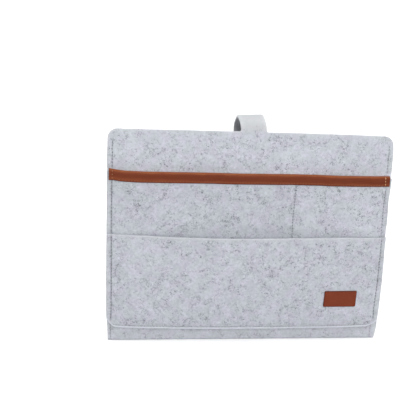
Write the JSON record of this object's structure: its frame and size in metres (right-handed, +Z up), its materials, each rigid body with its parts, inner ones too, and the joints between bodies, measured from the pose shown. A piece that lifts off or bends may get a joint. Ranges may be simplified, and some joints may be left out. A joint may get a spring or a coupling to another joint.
{
  "type": "felt bedside caddy",
  "caption": "Flat felt sleeve with two rows of sewn front pockets, a leather-bound pocket edge, a closing strap over its mouth and a fold-out flap for under a mattress.",
  "frame": {"origin": "middle of the front sheet's lower edge, on the surface that the caddy stands on", "axes": "+X along the width, to the right when seen from the pockets; the pockets face -Y and the flap lies towards +Y; +Z up"},
  "size_m": [0.33, 0.1738, 0.267],
  "materials": {
    "felt": "heathered pale grey pressed felt, matte, with bright fibrous cut edges",
    "band_leather": "smooth red-brown imitation leather, semi-gloss, folded round the edge",
    "patch_leather": "smooth dark red-brown imitation leather, satin",
    "tape": "woven hook-and-loop tape, grey, matte"
  },
  "bodies": {
    "caddy": {"front_panel": "felt", "back_panel": "felt", "upper_pocket": "felt", "lower_pocket": "felt", "pocket_band": "band_leather", "leather_patch": "patch_leather", "loop_tape": "tape"},
    "flap": {"mattress_flap": "felt"},
    "strap": {"strap_loop": "felt"},
    "strap_end": {"strap_tail": "felt", "hook_tape": "tape"}
  },
  "joints": [
    {"name": "flap_fold", "type": "hinge", "parent": "caddy", "child": "flap", "pos_m": [0, 0.0081, 0.0015], "axis": [1, 0, 0], "range_deg": [-90, 86]},
    {"name": "strap_lift", "type": "hinge", "parent": "caddy", "child": "strap", "pos_m": [0, -0.0015, 0.25015], "axis": [1, 0, 0], "range_deg": [0, 80]},
    {"name": "tail_peel", "type": "hinge", "parent": "strap", "child": "strap_end", "pos_m": [0, 0.01838, 0.20815], "axis": [1, 0, 0], "range_deg": [0, 90]}
  ]
}
